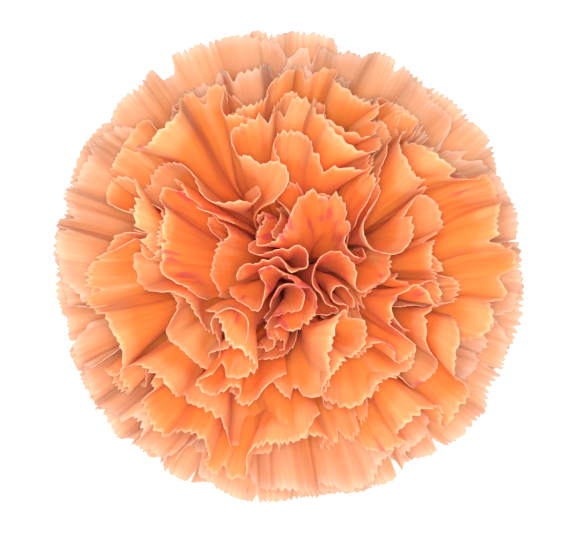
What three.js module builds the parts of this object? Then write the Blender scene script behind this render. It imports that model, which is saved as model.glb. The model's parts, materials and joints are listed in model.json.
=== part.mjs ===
// A cut carnation lying on a surface: a full double bloom on a short leafy stem.
//
// The flower is modelled along its own axis, with the calyx base at the origin, the face of the
// bloom towards +Z and the stem towards -Z. It is then tipped over until the outer petals and the
// cut end of the stem both touch the surface, so that the face looks towards -Y.
// All lengths are in millimetres.
import * as THREE from "three";

const DEG = Math.PI / 180;

// ---- Driving dimensions ----

// Stem, from the calyx base down to the cut end, with one swollen joint.
const STEM_LENGTH = 105;
const STEM_RADIUS = 2.6;
const STEM_TOP_RADIUS = 3.6;
const STEM_FLARE_LENGTH = 10;
const JOINT_DROP = 52;
const JOINT_RADIUS = 3.9;
const JOINT_LENGTH = 9;

// Calyx tube, its length counted to the tips of its five teeth.
const CALYX_LENGTH = 30;
const CALYX_TEETH = 5;
const CALYX_TOOTH_LENGTH = 6;
const CALYX_WALL = 0.8;
const CALYX_BASE_ROUNDING = 5;

// Bracts that clasp the calyx base, in two pairs.
const BRACT_LENGTHS = [12, 10];
const BRACT_WIDTH = 13;
const BRACT_TIP_WIDTH = 0.6;
const BRACT_THICKNESS = 0.6;
const BRACT_BASE_HEIGHT = 1.5;

// Petals: a narrow claw inside the calyx, and a broad blade that bends outwards above it. The blade
// reaches its full width at a share of its length, and its corners are shorter than its middle.
// The ruffle's waves start at a different place, in radians, on each petal.
const PETAL_THICKNESS = 0.3;
const CLAW_BASE_GAP = 0.25;
const CLAW_MOUTH_GAP = 0.4;
const CLAW_CORE_RADIUS = 2.2;
const CLAW_WIDTH = 2.6;
const BEND_RADIUS = 7;
const BEND_RADIUS_STEP = 1.6;
const FULL_WIDTH_SHARE = 0.85;
const WIDENING_POWER = 1.4;
const BLADE_ROUNDING = 0.16;
const RUFFLE_HEIGHT = 1;
const RUFFLE_WAVES = 1.5;
const RUFFLE_TURN_PER_PETAL = 2.4;
const RUFFLE_TURN_PER_WHORL = 1.1;
const NEIGHBOUR_GAP = 0.8;

// Whorls of petals, outermost first: how many, how far the blades lean out from the axis in
// degrees, how long and how wide they are, and the direction of the first one in degrees.
const WHORLS = [
  { petals: 7, lean: 97, length: 36.2, width: 28, turn: -90 + 180 / 7 },
  { petals: 7, lean: 88, length: 37.5, width: 28, turn: -90 },
  { petals: 6, lean: 79, length: 38, width: 28, turn: -78 },
  { petals: 6, lean: 69, length: 38, width: 27, turn: -48 },
  { petals: 5, lean: 58, length: 37, width: 27, turn: -90 },
  { petals: 5, lean: 47, length: 34.5, width: 26, turn: -54 },
];

// Hearts: clusters of petals inside the whorls, each about an axis of its own that leans out from
// the flower's. Radius is from the flower's axis to the heart's, and spread from the heart's axis
// to its outer petals, both where the heart has reached its full height.
const HEARTS = 4;
const HEART_TURN = -24;
const HEART_HEIGHT = 22;
const HEART_RADIUS = 10.8;
const HEART_SPREAD = 6.8;
const HEART_START_SPREAD = 0.85;
const HEART_OPENING_POWER = 1.8;
const HEART_CLAW_WIDTH = 1.6;
const HEART_ROUNDING = 0.12;
const FOLD_SHARE = 0.8;

// The petals of one heart: how high they rise, which way they face, and half the angle that their
// rims span about the heart's axis, in degrees. The middle one is an upright fold across the axis.
const HEART_PETALS = [
  { height: 26, facing: 0, span: 78 },
  { height: 20, fold: 0.3 },
  { height: 24, facing: 180, span: 78 },
];

// Parts at the heart of the flower.
const RECEPTACLE_HEIGHT = 2.4;
const OVARY_LENGTH = 10;
const OVARY_RADIUS = 1.7;
const STYLE_LENGTH = 24;
const STYLE_RADIUS = 0.4;
const STYLE_SPREAD = 0.5;
const STYLE_SWAY = 0.25;

// One pair of narrow leaves at the stem's joint.
const LEAF_WIDTH = 6;
const LEAF_TIP_WIDTH = 0.6;
const LEAF_TAPER = 1.2;
const LEAF_THICKNESS = 0.8;
const LEAF_REACH = 45;
const LEAF_SPREAD = 26;
const LEAF_ARCH = 9;
const LEAF_KEEL = 0.9;

// Space left between pieces that meet in the real flower.
const SEAT_GAP = 0.3;

// ---- Materials ----

// One petal colour for each whorl, deepening inwards, and the last for the hearts.
const petalMaterials = [...WHORLS, null].map((_, i) => {
  const outer = new THREE.Color(0xf6b184);
  return new THREE.MeshStandardMaterial({
    color: outer.lerp(new THREE.Color(0xf2713a), i / WHORLS.length),
    roughness: 0.6,
    side: THREE.DoubleSide,
  });
});
const calyxMaterial = new THREE.MeshStandardMaterial({ color: 0x8fae7f, roughness: 0.55 });
const stemMaterial = new THREE.MeshStandardMaterial({ color: 0x7f9f78, roughness: 0.6 });
const leafMaterial = new THREE.MeshStandardMaterial({ color: 0x7e9c86, roughness: 0.65 });
const heartMaterial = new THREE.MeshStandardMaterial({ color: 0xc9d3a0, roughness: 0.5 });
const styleMaterial = new THREE.MeshStandardMaterial({ color: 0xf7e6d2, roughness: 0.5 });

// ---- Solids ----

// A closed solid of even thickness about the surface place(across, along), both from 0 to 1.
// With closed set, the surface joins up with itself across, as a tube does.
function sheet(place, columns, rows, thickness, closed = false) {
  const columnCount = closed ? columns : columns + 1;
  const rowCount = rows.length;
  const step = 1e-3;
  const positions = [[], []];
  for (const v of rows) {
    for (let i = 0; i < columnCount; i++) {
      const u = i / columns;
      const uLow = closed ? u - step : Math.max(u - step, 0);
      const uHigh = closed ? u + step : Math.min(u + step, 1);
      const across = place(uHigh, v).sub(place(uLow, v));
      const along = place(u, Math.min(v + step, 1)).sub(place(u, Math.max(v - step, 0)));
      const offset = across.cross(along).setLength(thickness / 2);
      positions[0].push(...place(u, v).add(offset));
      positions[1].push(...place(u, v).sub(offset));
    }
  }
  const back = rowCount * columnCount;
  const at = (i, j) => j * columnCount + (i % columnCount);
  const index = [];
  const quad = (a, b, c, d) => index.push(a, b, c, a, c, d);
  for (let j = 0; j < rowCount - 1; j++) {
    for (let i = 0; i < columns; i++) {
      const [a, b, c, d] = [at(i, j), at(i + 1, j), at(i + 1, j + 1), at(i, j + 1)];
      quad(a, b, c, d);
      quad(back + d, back + c, back + b, back + a);
    }
    if (!closed) {
      const [a, d] = [at(0, j), at(0, j + 1)];
      quad(a, d, back + d, back + a);
      const [b, c] = [at(columns, j), at(columns, j + 1)];
      quad(b, back + b, back + c, c);
    }
  }
  for (let i = 0; i < columns; i++) {
    const [a, b] = [at(i, 0), at(i + 1, 0)];
    quad(a, back + a, back + b, b);
    const [d, c] = [at(i, rowCount - 1), at(i + 1, rowCount - 1)];
    quad(d, c, back + c, back + d);
  }
  const geometry = new THREE.BufferGeometry();
  const all = new Float32Array([...positions[0], ...positions[1]]);
  geometry.setAttribute("position", new THREE.BufferAttribute(all, 3));
  geometry.setIndex(index);
  geometry.computeVertexNormals();
  return geometry;
}

// A solid of revolution about the flower's axis, from [radius, height] pairs.
function turned(profile, segments) {
  const points = profile.map(([r, z]) => new THREE.Vector2(r, z));
  return new THREE.LatheGeometry(points, segments).rotateX(Math.PI / 2);
}

const evenly = (steps) => Array.from({ length: steps + 1 }, (_, i) => i / steps);
const mix = (a, b, share) => a + (b - a) * share;
const around = (radius, angle, height) =>
  new THREE.Vector3(radius * Math.cos(angle), radius * Math.sin(angle), height);

function named(name, geometry, material) {
  const mesh = new THREE.Mesh(geometry, material);
  mesh.name = name;
  return mesh;
}

// ---- Places that the pieces share ----

const receptacleTop = CALYX_WALL + 2 * SEAT_GAP + RECEPTACLE_HEIGHT;
const clawBaseHeight = receptacleTop + SEAT_GAP;
const clawTopHeight = CALYX_LENGTH + SEAT_GAP;

// The claws stand in rings: one for each whorl, and inside them one for each petal of a heart.
const ringsInside = (ring) => WHORLS.length + HEART_PETALS.length - 1 - ring;
const clawBaseRadius = (ring) =>
  CLAW_CORE_RADIUS + ringsInside(ring) * (PETAL_THICKNESS + CLAW_BASE_GAP);
const clawTopRadius = (ring) =>
  CLAW_CORE_RADIUS + ringsInside(ring) * (PETAL_THICKNESS + CLAW_MOUTH_GAP);
const heartStartRadius = clawTopRadius(WHORLS.length) - HEART_START_SPREAD;
const calyxInset = PETAL_THICKNESS / 2 + SEAT_GAP + CALYX_WALL / 2;
const calyxLift = SEAT_GAP + CALYX_WALL / 2;

// Radius of the middle of the calyx wall at a height above its bottom edge: rounded at the base,
// then nearly straight.
function calyxRadius(height) {
  const straight = mix(clawBaseRadius(0), clawTopRadius(0), height / CALYX_LENGTH) + calyxInset;
  const up = Math.min(height / CALYX_BASE_ROUNDING, 1);
  return mix(STEM_TOP_RADIUS, straight, Math.sqrt(1 - (1 - up) ** 2));
}

// ---- Petals ----

// A whorl's petals follow one profile in radius and height: round the bend, and then straight out
// along the blade. Distance is counted from the top of the claw.
function whorlProfile(whorl) {
  const lean = WHORLS[whorl].lean * DEG;
  const bendRadius = BEND_RADIUS + whorl * BEND_RADIUS_STEP;
  const startRadius = clawTopRadius(whorl);
  return (distance) => {
    const bent = Math.min(distance / bendRadius, lean);
    const straight = Math.max(distance - bendRadius * lean, 0);
    const radius = startRadius + bendRadius * (1 - Math.cos(bent)) + straight * Math.sin(bent);
    const height = clawTopHeight + bendRadius * Math.sin(bent) + straight * Math.cos(bent);
    return { radius, height, direction: bent };
  };
}

const CLAW_ROWS = 1;
const BLADE_ROWS = 8;
const PETAL_COLUMNS = 6;

function petalGeometry(whorl, angle, ruffleStart) {
  const { petals, length, width } = WHORLS[whorl];
  const profile = whorlProfile(whorl);
  const rowShare = CLAW_ROWS / (CLAW_ROWS + BLADE_ROWS);
  const place = (across, along) => {
    const side = 2 * across - 1;
    if (along < rowShare) {
      const up = along / rowShare;
      const radius = mix(clawBaseRadius(whorl), clawTopRadius(whorl), up);
      const height = mix(clawBaseHeight, clawTopHeight, up);
      const claw = CLAW_WIDTH * mix(0.5, 1, up);
      return around(radius, angle + (side * claw) / 2 / radius, height);
    }
    const out = (along - rowShare) / (1 - rowShare);
    const { radius, height, direction } = profile(out * length * (1 - BLADE_ROUNDING * side ** 2));
    const opening = Math.min(out / FULL_WIDTH_SHARE, 1);
    const widening = Math.sin((Math.PI / 2) * opening) ** WIDENING_POWER;
    const halfWidth = mix(CLAW_WIDTH, width, widening) / 2;
    const room = Math.PI / petals - NEIGHBOUR_GAP / 2 / radius;
    const halfAngle = Math.min(halfWidth / radius, room);
    const ruffle = RUFFLE_HEIGHT * out ** 2 * Math.sin(Math.PI * RUFFLE_WAVES * side + ruffleStart);
    return around(
      radius - ruffle * Math.cos(direction),
      angle + side * halfAngle,
      height + ruffle * Math.sin(direction),
    );
  };
  return sheet(place, PETAL_COLUMNS, evenly(CLAW_ROWS + BLADE_ROWS), PETAL_THICKNESS);
}

// A heart's petal leaves its claw, and opens about the heart's axis as that leans outwards.
function heartPetalGeometry(member, angle) {
  const { height: reach, facing, span, fold } = HEART_PETALS[member];
  const baseRadius = clawBaseRadius(WHORLS.length + member);
  const rowShare = CLAW_ROWS / (CLAW_ROWS + BLADE_ROWS);
  const outwards = around(1, angle, 0);
  const sideways = around(1, angle + Math.PI / 2, 0);
  const place = (across, along) => {
    const side = 2 * across - 1;
    const rise = Math.max((along - rowShare) / (1 - rowShare), 0) * reach;
    const opened = (rise / HEART_HEIGHT) ** HEART_OPENING_POWER;
    const axisRadius = mix(heartStartRadius, HEART_RADIUS, opened);
    const spread = mix(HEART_START_SPREAD, HEART_SPREAD, opened);
    const narrow = HEART_CLAW_WIDTH / 2;
    let local;
    if (fold) {
      const halfWidth = narrow / 2 + FOLD_SHARE * (spread - HEART_START_SPREAD);
      local = [fold * halfWidth * Math.sin(Math.PI * side) * (rise / reach), side * halfWidth];
    } else {
      const halfSpan = mix(narrow / HEART_START_SPREAD, span * DEG, rise / reach);
      const turn = facing * DEG + side * halfSpan * Math.cos(facing * DEG);
      local = [spread * Math.cos(turn), spread * Math.sin(turn)];
    }
    const point = outwards.clone().multiplyScalar(axisRadius + local[0]);
    point.addScaledVector(sideways, local[1]);
    point.z = clawTopHeight + rise * (1 - HEART_ROUNDING * side ** 2);
    if (along < rowShare) {
      const claw = around(baseRadius, angle + (side * narrow) / 2 / baseRadius, clawBaseHeight);
      point.lerp(claw, 1 - along / rowShare);
    }
    return point;
  };
  return sheet(place, PETAL_COLUMNS, evenly(CLAW_ROWS + BLADE_ROWS), PETAL_THICKNESS);
}

function makeWhorls() {
  const group = new THREE.Group();
  WHORLS.forEach(({ petals, turn }, whorl) => {
    for (let i = 0; i < petals; i++) {
      const angle = (turn + (360 / petals) * i) * DEG;
      const ruffleStart = RUFFLE_TURN_PER_PETAL * i + RUFFLE_TURN_PER_WHORL * whorl;
      const name = `petal_${whorl + 1}_${i + 1}`;
      group.add(named(name, petalGeometry(whorl, angle, ruffleStart), petalMaterials[whorl]));
    }
  });
  return group;
}

function makeHearts() {
  const group = new THREE.Group();
  for (let heart = 0; heart < HEARTS; heart++) {
    const angle = (HEART_TURN + (360 / HEARTS) * heart) * DEG;
    HEART_PETALS.forEach((_, member) => {
      const name = `heart_petal_${heart + 1}_${member + 1}`;
      group.add(named(name, heartPetalGeometry(member, angle), petalMaterials.at(-1)));
    });
  }
  return group;
}

// ---- Green parts ----

function makeCalyx() {
  const columns = CALYX_TEETH * 6;
  const place = (across, along) => {
    const tooth = Math.abs((((across * CALYX_TEETH) % 1) + 1) % 1 - 0.5) * 2;
    const top = CALYX_LENGTH - CALYX_TOOTH_LENGTH * (1 - tooth);
    const height = top * along ** 1.5;
    return around(calyxRadius(height), across * 2 * Math.PI, height + calyxLift);
  };
  return named("calyx", sheet(place, columns, evenly(9), CALYX_WALL, true), calyxMaterial);
}

// A bract lies on the calyx, or on the pair of bracts inside it, and narrows to a point.
function bractGeometry(pair, angle) {
  const onCalyx = CALYX_WALL / 2 + SEAT_GAP + BRACT_THICKNESS / 2;
  const place = (across, along) => {
    const side = 2 * across - 1;
    const height = BRACT_BASE_HEIGHT + BRACT_LENGTHS[pair] * along;
    const overPair = pair * (BRACT_THICKNESS + SEAT_GAP) * (1 - along);
    const radius = calyxRadius(height) + onCalyx + overPair;
    const halfWidth = Math.max(BRACT_WIDTH * Math.sqrt(1 - along), BRACT_TIP_WIDTH) / 2;
    return around(radius, angle + (side * halfWidth) / radius, height + calyxLift);
  };
  return sheet(place, 6, evenly(6), BRACT_THICKNESS);
}

function makeBracts() {
  const group = new THREE.Group();
  BRACT_LENGTHS.forEach((_, pair) => {
    for (let i = 0; i < 2; i++) {
      const angle = (90 * pair + 180 * i) * DEG;
      group.add(named(`bract_${2 * pair + i + 1}`, bractGeometry(pair, angle), calyxMaterial));
    }
  });
  return group;
}

function makeStem() {
  const joint = evenly(6).map((share) => {
    const swelling = Math.sin(Math.PI * share) ** 1.5;
    const height = -JOINT_DROP + JOINT_LENGTH * (share - 0.5);
    return [mix(STEM_RADIUS, JOINT_RADIUS, swelling), height];
  });
  const flare = evenly(5).map((share) => {
    return [mix(STEM_RADIUS, STEM_TOP_RADIUS, share ** 2), -STEM_FLARE_LENGTH * (1 - share)];
  });
  const profile = [[0, -STEM_LENGTH], [STEM_RADIUS, -STEM_LENGTH], ...joint, ...flare, [0, 0]];
  return named("stem", turned(profile, 16), stemMaterial);
}

// ---- How the flower lies ----

// The stem's cut end and the outermost whorl's tips touch the surface.
const rim = whorlProfile(0)(WHORLS[0].length);
const tilt = Math.atan2(rim.radius - STEM_RADIUS, rim.height + STEM_LENGTH);
const surfaceBelowAxis = (height) => -STEM_RADIUS - (STEM_LENGTH + height) * Math.tan(tilt);

// A leaf leaves the stem's joint, arches forwards and out, and rests its tip on the surface.
function leafGeometry(side) {
  const tipHeight = -JOINT_DROP + LEAF_REACH;
  const lift = LEAF_THICKNESS / 2 / Math.cos(tilt);
  const tip = new THREE.Vector3(side * LEAF_SPREAD, surfaceBelowAxis(tipHeight) + lift, tipHeight);
  const root = around(JOINT_RADIUS + SEAT_GAP + LEAF_THICKNESS / 2, 0, -JOINT_DROP);
  root.x *= side;
  const arch = new THREE.Vector3(0, LEAF_ARCH, 0);
  const curve = new THREE.CubicBezierCurve3(
    root,
    root.clone().lerp(tip, 1 / 3).add(arch),
    root.clone().lerp(tip, 2 / 3).add(arch),
    tip,
  );
  const rootFacing = new THREE.Vector3(-side, 0, 0);
  const tipFacing = new THREE.Vector3(0, Math.cos(tilt), Math.sin(tilt));
  const place = (across, along) => {
    const offset = 2 * across - 1;
    const forwards = curve.getTangent(along);
    const facing = rootFacing.clone().lerp(tipFacing, along);
    const widthways = forwards.clone().cross(facing).normalize();
    const upwards = widthways.clone().cross(forwards).normalize();
    const taper = Math.sqrt(1 - along);
    const halfWidth = Math.max(LEAF_WIDTH * Math.min(LEAF_TAPER * taper, 1), LEAF_TIP_WIDTH) / 2;
    const keel = LEAF_KEEL * Math.abs(offset) * taper;
    return curve
      .getPoint(along)
      .addScaledVector(widthways, offset * halfWidth)
      .addScaledVector(upwards, keel);
  };
  return sheet(place, 4, evenly(14), LEAF_THICKNESS);
}

function makeLeaves() {
  const group = new THREE.Group();
  group.add(named("leaf_left", leafGeometry(-1), leafMaterial));
  group.add(named("leaf_right", leafGeometry(1), leafMaterial));
  return group;
}

// ---- Heart of the flower ----

// The receptacle widens from the stem's radius until its top fills the calyx.
function makeReceptacle() {
  const calyxInside = calyxRadius(receptacleTop - calyxLift) - CALYX_WALL / 2;
  const topRadius = calyxInside - SEAT_GAP;
  const geometry = new THREE.CylinderGeometry(topRadius, STEM_TOP_RADIUS, RECEPTACLE_HEIGHT, 20);
  geometry.rotateX(Math.PI / 2).translate(0, 0, receptacleTop - RECEPTACLE_HEIGHT / 2);
  return named("receptacle", geometry, heartMaterial);
}

function makeOvary() {
  const geometry = new THREE.SphereGeometry(1, 12, 8).rotateX(Math.PI / 2);
  geometry.scale(OVARY_RADIUS, OVARY_RADIUS, OVARY_LENGTH / 2);
  geometry.translate(0, 0, receptacleTop + SEAT_GAP + OVARY_LENGTH / 2);
  return named("ovary", geometry, heartMaterial);
}

function makeStyles() {
  const group = new THREE.Group();
  const bottom = receptacleTop + OVARY_LENGTH + 2 * SEAT_GAP;
  const section = new THREE.Shape().absarc(0, 0, STYLE_RADIUS, 0, 2 * Math.PI);
  for (const side of [-1, 1]) {
    const points = evenly(4).map((share) => {
      const lean = STYLE_RADIUS + SEAT_GAP / 2 + STYLE_SPREAD * share ** 2;
      const sway = STYLE_SWAY * Math.sin(Math.PI * share);
      return new THREE.Vector3(side * lean, side * sway, bottom + STYLE_LENGTH * share);
    });
    const geometry = new THREE.ExtrudeGeometry(section, {
      steps: 10,
      curveSegments: 4,
      bevelEnabled: false,
      extrudePath: new THREE.CatmullRomCurve3(points),
    });
    group.add(named(side < 0 ? "style_left" : "style_right", geometry, styleMaterial));
  }
  return group;
}

// ---- The whole flower ----

function makeFlower() {
  const flower = new THREE.Group();
  flower.add(makeStem(), makeCalyx(), makeBracts(), makeLeaves());
  flower.add(makeReceptacle(), makeOvary(), makeStyles(), makeWhorls(), makeHearts());
  flower.rotation.x = Math.PI / 2 - tilt;
  return flower;
}

// The origin is on the surface, under the middle of the flower's bounding box.
function setDown(flower) {
  const box = new THREE.Box3().setFromObject(flower, true);
  const centre = box.getCenter(new THREE.Vector3());
  flower.position.set(-centre.x, -centre.y, -box.min.z);
  const carnation = new THREE.Group();
  carnation.add(flower);
  return carnation;
}

export default setDown(makeFlower());
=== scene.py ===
"""A cut carnation lying on a pale floor, seen from in front of its bloom.

The petals are grown, not drawn. Each blade starts as a thin sheet in the place of its CAD petal, and
then its rim grows wider than the room it has, while the sheets push each other apart. That gives the
pleats of the outer petals and the folds of the inner ones. Lengths are in millimetres in the flower's
own frame (calyx base at the origin, face towards +Z, stem towards -Z) until a mesh is written.
"""
import json
import math

import bpy
import numpy as np
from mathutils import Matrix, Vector


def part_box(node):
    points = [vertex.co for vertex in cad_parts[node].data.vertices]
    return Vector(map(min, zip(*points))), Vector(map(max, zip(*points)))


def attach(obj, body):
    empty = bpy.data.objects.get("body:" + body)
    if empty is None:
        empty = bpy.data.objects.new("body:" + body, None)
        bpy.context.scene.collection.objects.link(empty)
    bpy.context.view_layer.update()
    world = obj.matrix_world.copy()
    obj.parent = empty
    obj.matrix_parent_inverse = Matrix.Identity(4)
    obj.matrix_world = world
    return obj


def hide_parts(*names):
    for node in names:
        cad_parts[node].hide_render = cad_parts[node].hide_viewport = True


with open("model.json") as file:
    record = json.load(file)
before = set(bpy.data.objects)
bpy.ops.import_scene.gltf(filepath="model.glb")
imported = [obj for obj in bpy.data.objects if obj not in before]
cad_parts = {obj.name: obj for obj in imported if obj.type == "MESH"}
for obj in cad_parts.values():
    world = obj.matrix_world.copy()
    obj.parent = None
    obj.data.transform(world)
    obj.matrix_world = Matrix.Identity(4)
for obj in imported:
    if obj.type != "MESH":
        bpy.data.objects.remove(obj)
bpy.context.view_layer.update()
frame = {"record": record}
SLOTS = {row["node"]: row["material_slot"] for row in frame["record"]["subparts"]}

# ---- Sizes, as in the CAD part ----

STEM_LENGTH = 105
STEM_RADIUS = 2.6
STEM_TOP_RADIUS = 3.6
STEM_FLARE_LENGTH = 10
JOINT_DROP = 52
JOINT_RADIUS = 3.9
JOINT_LENGTH = 9
CALYX_LENGTH = 30
CALYX_TEETH = 5
CALYX_TOOTH_LENGTH = 6
CALYX_WALL = 0.8
CALYX_BASE_ROUNDING = 5
BRACT_LENGTHS = [12, 10]
BRACT_WIDTH = 13
BRACT_THICKNESS = 0.6
BRACT_BASE_HEIGHT = 1.5
PETAL_THICKNESS = 0.3
CLAW_BASE_GAP = 0.25
CLAW_MOUTH_GAP = 0.4
CLAW_CORE_RADIUS = 2.2
CLAW_WIDTH = 2.6
BEND_RADIUS = 7
BEND_RADIUS_STEP = 1.6
FULL_WIDTH_SHARE = 0.85
WIDENING_POWER = 1.4
NEIGHBOUR_GAP = 0.8
RECEPTACLE_HEIGHT = 2.4
OVARY_LENGTH = 10
OVARY_RADIUS = 1.7
STYLE_LENGTH = 24
STYLE_RADIUS = 0.4
STYLE_SPREAD = 0.5
STYLE_SWAY = 0.25
LEAF_WIDTH = 6
LEAF_THICKNESS = 0.8
LEAF_TAPER = 1.2
LEAF_REACH = 45
LEAF_SPREAD = 26
LEAF_ARCH = 9
LEAF_KEEL = 0.9
SEAT_GAP = 0.3
HEARTS = 4
HEART_TURN = -24
HEART_HEIGHT = 22
HEART_RADIUS = 10.8
HEART_SPREAD = 6.8
HEART_START_SPREAD = 0.85
HEART_OPENING_POWER = 1.8
HEART_CLAW_WIDTH = 1.6
HEART_ROUNDING = 0.12
FOLD_SHARE = 0.8

# Whorls, outermost first. The first line of each is as in the CAD part. The second is how its blades
# grow: the rim laid flat against the blade's width, extra growth of the rim itself, stiffness, the
# shortest petal's length against the whorl's, and how far petals stray from even places, in degrees.
WHORLS = [
    dict(petals=7, lean=97, length=36.2, width=28, turn=-90 + 180 / 7,
         fullness=1.26, frill=0.1, stiff=0.8, shortest=0.98, jitter=2),
    dict(petals=7, lean=88, length=37.5, width=28, turn=-90,
         fullness=1.32, frill=0.14, stiff=0.8, shortest=0.96, jitter=3),
    dict(petals=6, lean=79, length=38, width=28, turn=-78,
         fullness=1.45, frill=0.3, stiff=0.45, shortest=0.88, jitter=5),
    dict(petals=6, lean=69, length=38, width=27, turn=-48,
         fullness=1.6, frill=0.52, stiff=0.28, shortest=0.82, jitter=6),
    dict(petals=5, lean=58, length=37, width=27, turn=-90,
         fullness=1.75, frill=0.66, stiff=0.22, shortest=0.78, jitter=7),
    dict(petals=5, lean=47, length=34.5, width=26, turn=-54,
         fullness=1.85, frill=0.76, stiff=0.2, shortest=0.78, jitter=7),
]

# The petals of a heart. They are longer than in the CAD part, because their folds take up length.
# Width is the rim's, laid flat, and push is how hard the petal leans out from the flower's axis.
HEART_PETALS = [
    dict(height=30, facing=0, span=78, width=39, push=1.0),
    dict(height=24, fold=0.3, width=31, push=0.4),
    dict(height=27, facing=180, span=78, width=35, push=-0.8),
]
LONGEST = 1.04
HEART_LONGEST = 1.12
HEART_JITTER = 8
HEART_FRILL = 0.55
HEART_STIFF = 0.24

# One heart is a smooth cup instead: narrower, with a plain rim, and stiffer.
CUP = 2
CUP_WIDTH_SHARE = 0.85
CUP_FRILL = 0.1
CUP_STIFF = 1.2

# The three outermost whorls lie flatter and keep nearer to their places than the rest, and the two
# outermost are stretched a little, because their pleats pull the bloom's outline in.
FLAT_WHORLS = 3
OUTLINE_WHORLS = 2
OUTLINE_STRETCH = 1.015
FLAT_ROUNDING = 0.06
ROUNDING = 0.1

# How strongly a blade's middle is held near its place, and how far that place strays, x, y and z.
FLAT_HOLD = 0.02
HOLD = 0.008
HEART_HOLD = 0.004
FLAT_STRAY = np.array([0.4, 0.4, 1.2])
STRAY = 2.2
HEART_STRAY = 1.6

# The space inside the bloom is turned about these upright axes before growth: x, y, reach, turn.
# The turn starts a little above the claws, and is complete further up.
SWIRLS = [
    (-10, 5, 8, 0.4),
    (10, -4, 7, -1.5),
    (4, 11, 7, 1.4),
    (-5, -10, 7, -1.4),
    (20, 8, 8, 0.7),
    (-16, -14, 8, 0.8),
    (15, -17, 8, -0.7),
]
SWIRL_START = 2
SWIRL_FULL = 20

TINY = 1e-9


def mix(a, b, share):
    return a + (b - a) * share


def smooth(value, low, high):
    share = np.clip((value - low) / (high - low), 0, 1)
    return share * share * (3 - 2 * share)


def stacked(*parts):
    """Joins numbers or grids of them into one grid of points."""
    return np.stack(np.broadcast_arrays(*parts), -1)


RINGS = len(WHORLS) + len(HEART_PETALS)
RECEPTACLE_TOP = CALYX_WALL + 2 * SEAT_GAP + RECEPTACLE_HEIGHT
CLAW_BASE = RECEPTACLE_TOP + SEAT_GAP
CLAW_TOP = CALYX_LENGTH + SEAT_GAP


def claw_base_radius(ring):
    return CLAW_CORE_RADIUS + (RINGS - 1 - ring) * (PETAL_THICKNESS + CLAW_BASE_GAP)


def claw_top_radius(ring):
    return CLAW_CORE_RADIUS + (RINGS - 1 - ring) * (PETAL_THICKNESS + CLAW_MOUTH_GAP)


HEART_START = claw_top_radius(len(WHORLS)) - HEART_START_SPREAD
CALYX_INSET = PETAL_THICKNESS / 2 + SEAT_GAP + CALYX_WALL / 2
CALYX_LIFT = SEAT_GAP + CALYX_WALL / 2


def calyx_radius(height):
    """Radius of the middle of the calyx wall, at a height above the calyx's bottom edge."""
    straight = mix(claw_base_radius(0), claw_top_radius(0), height / CALYX_LENGTH) + CALYX_INSET
    up = np.minimum(height / CALYX_BASE_ROUNDING, 1)
    return mix(STEM_TOP_RADIUS, straight, np.sqrt(1 - (1 - up) ** 2))


# ---- How the flower lies ----


def whorl_profile(ring, lean, distance):
    """Radius, height and direction of a whorl's blade at a distance from the top of its claw."""
    bend = BEND_RADIUS + ring * BEND_RADIUS_STEP
    bent = np.minimum(distance / bend, lean)
    straight = np.maximum(distance - bend * lean, 0)
    radius = claw_top_radius(ring) + bend * (1 - np.cos(bent)) + straight * np.sin(bent)
    height = CLAW_TOP + bend * np.sin(bent) + straight * np.cos(bent)
    return radius, height, bent


rim_radius, rim_height, _ = whorl_profile(0, math.radians(WHORLS[0]["lean"]), WHORLS[0]["length"])
TILT = math.atan2(rim_radius - STEM_RADIUS, rim_height + STEM_LENGTH)
UP = np.array([0, math.sin(TILT), math.cos(TILT)])
FACE = np.array([0, -math.cos(TILT), math.sin(TILT)])
AXES = np.array([[1, 0, 0], UP, FACE])

# The stem's cut end is the furthest point to the back and the lowest one: it places the flower.
stem_low, stem_high = (np.array(corner) * 1000 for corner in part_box("stem"))
cut_back = STEM_LENGTH * math.cos(TILT) + STEM_RADIUS * math.sin(TILT)
cut_drop = STEM_LENGTH * math.sin(TILT) + STEM_RADIUS * math.cos(TILT)
ORIGIN = np.array([
    (stem_low[0] + stem_high[0]) / 2,
    stem_high[1] - cut_back,
    stem_low[2] + cut_drop,
])


def to_world(points):
    """From the flower's own frame in millimetres to Blender's in metres."""
    return (np.asarray(points) @ AXES + ORIGIN) / 1000


# ---- Growing the petals ----

# A blade is a grid of points, in rows from its claw to its rim. Its first rows never move.
ROWS = 22
COLUMNS = 37
HELD_ROWS = 2
ALONG = np.linspace(0, 1, ROWS)[:, None] * np.ones((1, COLUMNS))
ACROSS = np.linspace(-1, 1, COLUMNS)[None, :] * np.ones((ROWS, 1))

# Ripples that the blades start with: waves across, and height. LAP lifts one side of a whorl's
# petal, so that it laps over its neighbour.
WHORL_RIPPLES = [(1, 0.5), (2, 0.5), (3, 0.35), (4.5, 0.2)]
HEART_RIPPLES = [(1.5, 0.3), (2.5, 0.3), (3.5, 0.25)]
LAP = 1.0

# Growth of the rims comes in uneven patches: how uneven, and how many waves across.
PATCHES = 1.2
PATCH_WAVES = (1.0, 1.7, 2.6, 3.9)

# A blade laid flat is a fan, whose straight sides meet this far behind the claw's top.
FAN_START = 2

# Springs between a blade's points: rows apart, columns apart, strength. Those of one step keep its
# size, and the longer ones resist bending, by as much as the petal is stiff.
SPRINGS = [
    (1, 0, 1.0), (0, 1, 1.0), (1, 1, 0.6), (1, -1, 0.6),
    (2, 0, 0.2), (0, 2, 0.2), (0, 4, 0.12), (4, 0, 0.12),
]

# Points of different sheets keep this gap, which widens from the claw to a share of the length.
# Pairs nearer than CONTACT_REACH are found again every few steps.
CLAW_END_GAP = 0.5
SHEET_GAP = 1.3
FULL_GAP_SHARE = 0.45
CONTACT_REACH = 1.6
CONTACT_EVERY = 8
CONTACT_SHARE = 1.4

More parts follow.
